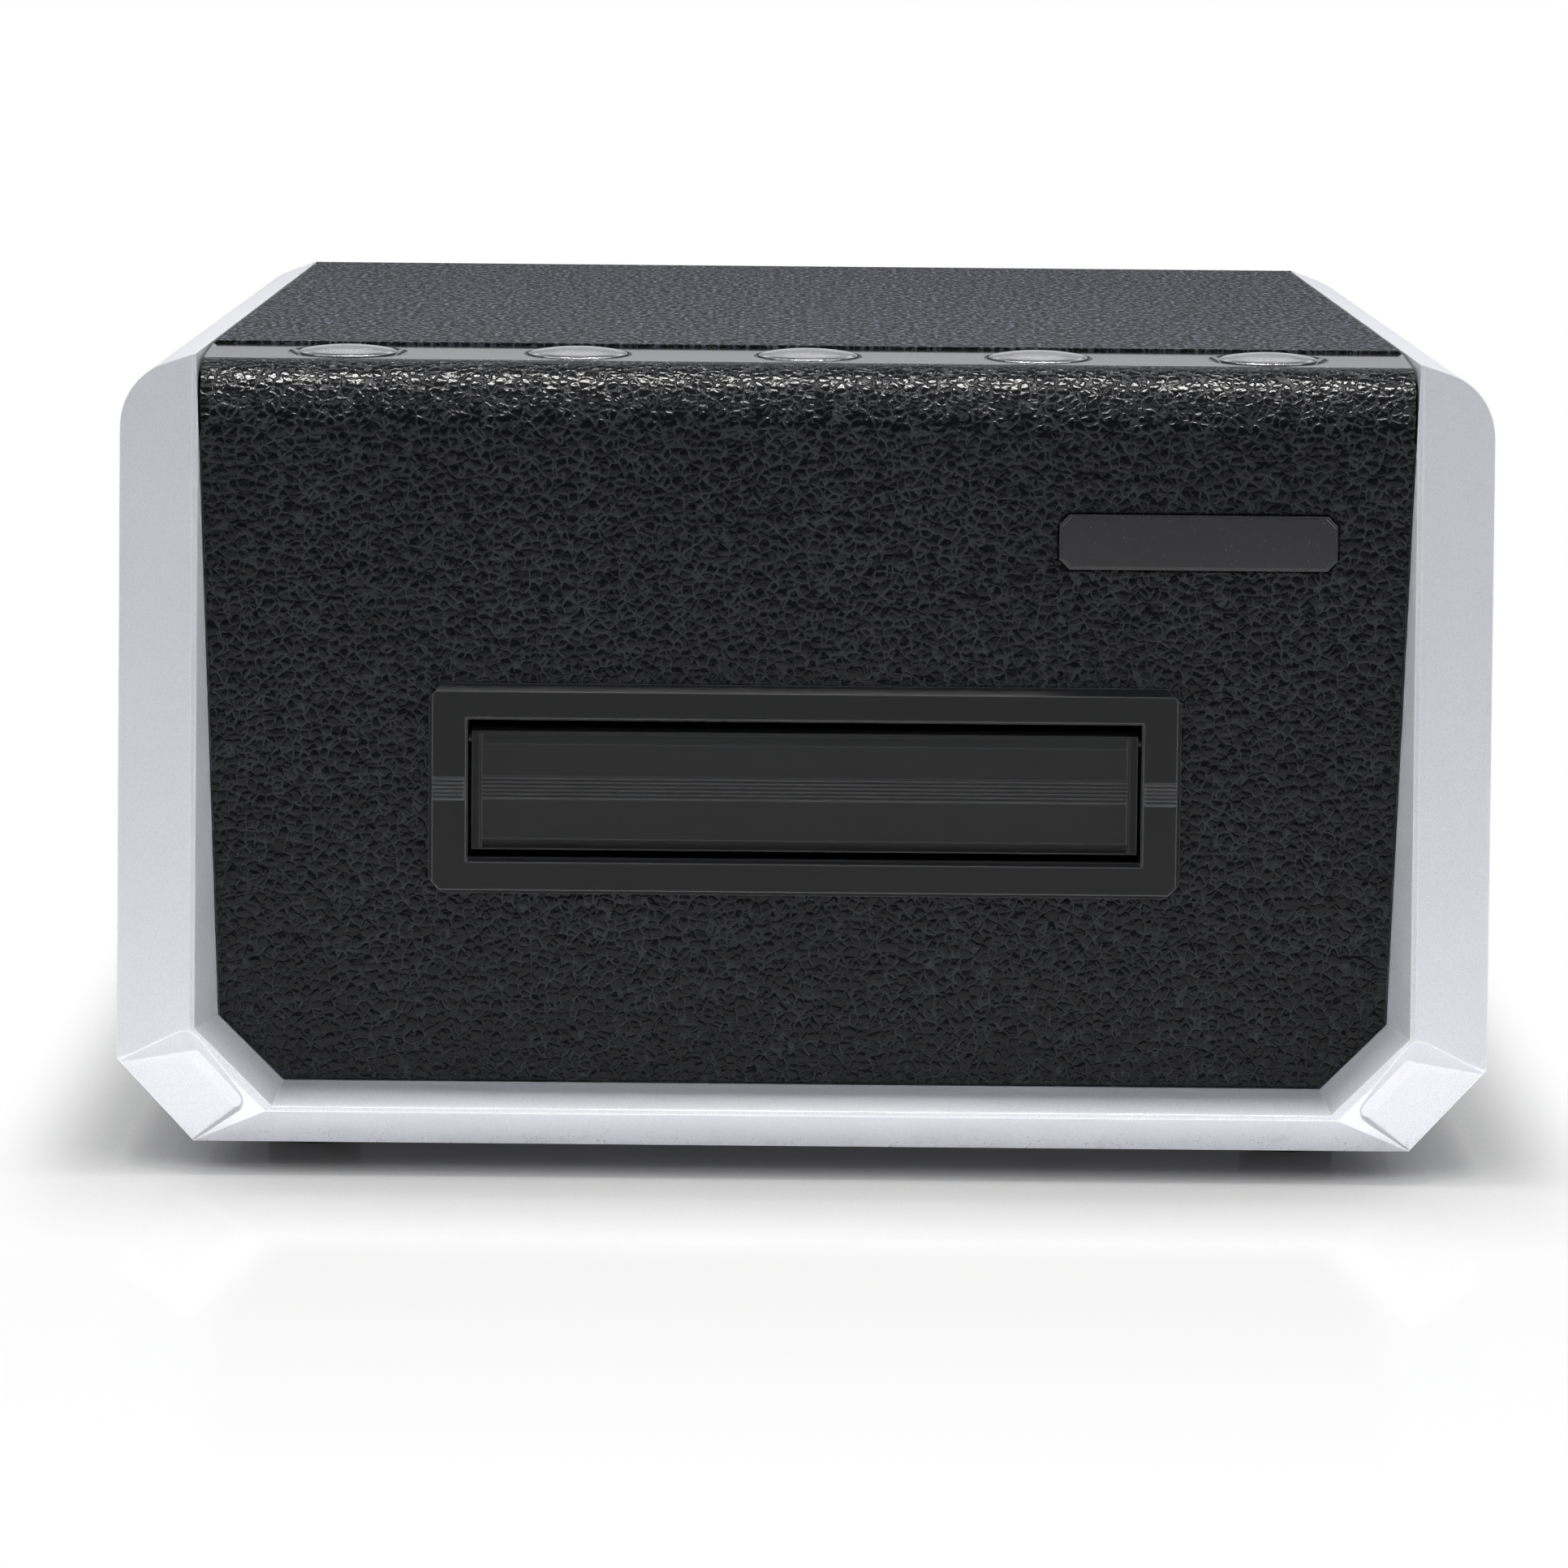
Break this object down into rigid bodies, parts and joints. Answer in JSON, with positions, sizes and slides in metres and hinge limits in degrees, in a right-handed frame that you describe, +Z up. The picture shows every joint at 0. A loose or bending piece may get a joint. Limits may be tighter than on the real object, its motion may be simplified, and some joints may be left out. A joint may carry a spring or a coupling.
{
  "type": "film negative scanner",
  "caption": "Free-standing motorised film scanner with domed push buttons along the front edge and a flap-covered slot that a film holder passes straight through.",
  "frame": {"origin": "centre of the bounding box, on the table under the rubber feet", "axes": "+X to the right seen from the front, +Y to the rear along the film path, +Z up"},
  "size_m": [0.175, 0.259, 0.1041],
  "materials": {
    "silver_plastic": "satin silver paint film on moulded plastic",
    "leather_grain": "pebbled leather grain, semi-matt",
    "gloss_strip": "polished dark plastic",
    "satin_black": "fine satin mould finish",
    "cap_metal": "domed caps with a fine turned sheen",
    "steel": "plated sheet and turned steel",
    "dark_steel": "chemically blackened steel",
    "brass": "sintered bushes and turned pinion",
    "rubber": "matt black rubber",
    "circuit_board": "solder-masked laminate",
    "nylon": "natural nylon",
    "glass": "clear polished",
    "mirror_glass": "front-silvered"
  },
  "bodies": {
    "case": {"lower_case": "silver_plastic", "front_panel": "leather_grain", "rear_panel": "leather_grain", "top_cover": "leather_grain", "button_strip": "gloss_strip", "badge_plate": "gloss_strip", "front_bezel": "satin_black", "rear_bezel": "satin_black", "front_flap_pin": "dark_steel", "rear_flap_pin": "dark_steel", "rubber_feet": "rubber", "case_screws": "steel", "left_side_plate": "steel", "right_side_plate": "steel", "tunnel_floor": "satin_black", "tunnel_roof": "satin_black", "scan_window": "glass", "lamp_housing": "satin_black", "light_diffuser": "nylon", "lamp_board": "circuit_board", "optics_housing": "satin_black", "mirror_glass": "mirror_glass", "lens_barrel": "gloss_strip", "lens_glass": "glass", "sensor_board": "circuit_board", "stepper_motor": "steel", "reduction_axle": "steel", "drive_belt": "rubber", "shaft_bushes": "brass", "chassis_screws": "steel", "board_standoffs": "brass", "main_board": "circuit_board", "usb_socket": "steel", "power_jack": "gloss_strip", "button_board": "circuit_board", "button_switches": "satin_black", "sensor_cable": "nylon", "button_cable": "nylon"},
    "front_flap_body": {"front_flap": "satin_black"},
    "rear_flap_body": {"rear_flap": "satin_black"},
    "power_cap": {"power_button": "cap_metal"},
    "eject_cap": {"eject_button": "cap_metal"},
    "slide_cap": {"slide_button": "cap_metal"},
    "colour_cap": {"colour_button": "cap_metal"},
    "mono_cap": {"mono_button": "cap_metal"},
    "front_drive": {"drive_shaft": "steel", "drive_rollers": "rubber", "drive_gear": "nylon", "drive_pulley": "nylon"},
    "rear_drive": {"rear_shaft": "steel", "rear_rollers": "rubber", "rear_pulley": "nylon"},
    "reduction": {"reduction_gear": "nylon"},
    "motor_rotor": {"motor_shaft": "steel", "motor_pinion": "brass"},
    "front_pinch": {"front_pinch_rollers": "rubber"},
    "rear_pinch": {"rear_pinch_rollers": "rubber"}
  },
  "joints": [
    {"name": "front_flap_hinge", "type": "hinge", "parent": "case", "child": "front_flap_body", "pos_m": [0, -0.1216, 0.0552], "axis": [1, 0, 0], "range_deg": [0, 85]},
    {"name": "rear_flap_hinge", "type": "hinge", "parent": "case", "child": "rear_flap_body", "pos_m": [0, 0.1216, 0.0552], "axis": [1, 0, 0], "range_deg": [0, 85]},
    {"name": "power_press", "type": "slide", "parent": "case", "child": "power_cap", "axis": [0, 0.0471, -0.9989], "range_m": [0, 0.0008], "stiffness_N_per_m": 400, "springref_m": -0.0006},
    {"name": "eject_press", "type": "slide", "parent": "case", "child": "eject_cap", "axis": [0, 0.0471, -0.9989], "range_m": [0, 0.0008], "stiffness_N_per_m": 400, "springref_m": -0.0006},
    {"name": "slide_press", "type": "slide", "parent": "case", "child": "slide_cap", "axis": [0, 0.0471, -0.9989], "range_m": [0, 0.0008], "stiffness_N_per_m": 400, "springref_m": -0.0006},
    {"name": "colour_press", "type": "slide", "parent": "case", "child": "colour_cap", "axis": [0, 0.0471, -0.9989], "range_m": [0, 0.0008], "stiffness_N_per_m": 400, "springref_m": -0.0006},
    {"name": "mono_press", "type": "slide", "parent": "case", "child": "mono_cap", "axis": [0, 0.0471, -0.9989], "range_m": [0, 0.0008], "stiffness_N_per_m": 400, "springref_m": -0.0006},
    {"name": "film_drive", "type": "hinge", "parent": "case", "child": "front_drive", "pos_m": [0, -0.048, 0.034], "axis": [1, 0, 0], "continuous": true},
    {"name": "rear_drive_turn", "type": "hinge", "parent": "case", "child": "rear_drive", "pos_m": [0, 0.048, 0.034], "axis": [1, 0, 0], "continuous": true},
    {"name": "reduction_turn", "type": "hinge", "parent": "case", "child": "reduction", "pos_m": [0, -0.0658, 0.02681], "axis": [1, 0, 0], "continuous": true},
    {"name": "motor_turn", "type": "hinge", "parent": "case", "child": "motor_rotor", "pos_m": [0, -0.08439, 0.02286], "axis": [1, 0, 0], "continuous": true},
    {"name": "front_pinch_turn", "type": "hinge", "parent": "case", "child": "front_pinch", "pos_m": [0, -0.048, 0.0562], "axis": [1, 0, 0], "continuous": true},
    {"name": "rear_pinch_turn", "type": "hinge", "parent": "case", "child": "rear_pinch", "pos_m": [0, 0.048, 0.0562], "axis": [1, 0, 0], "continuous": true}
  ],
  "couplings": [
    {"joint": "rear_drive_turn", "follows": "film_drive", "ratio": 1},
    {"joint": "reduction_turn", "follows": "film_drive", "ratio": -3},
    {"joint": "motor_turn", "follows": "film_drive", "ratio": 11.25}
  ]
}
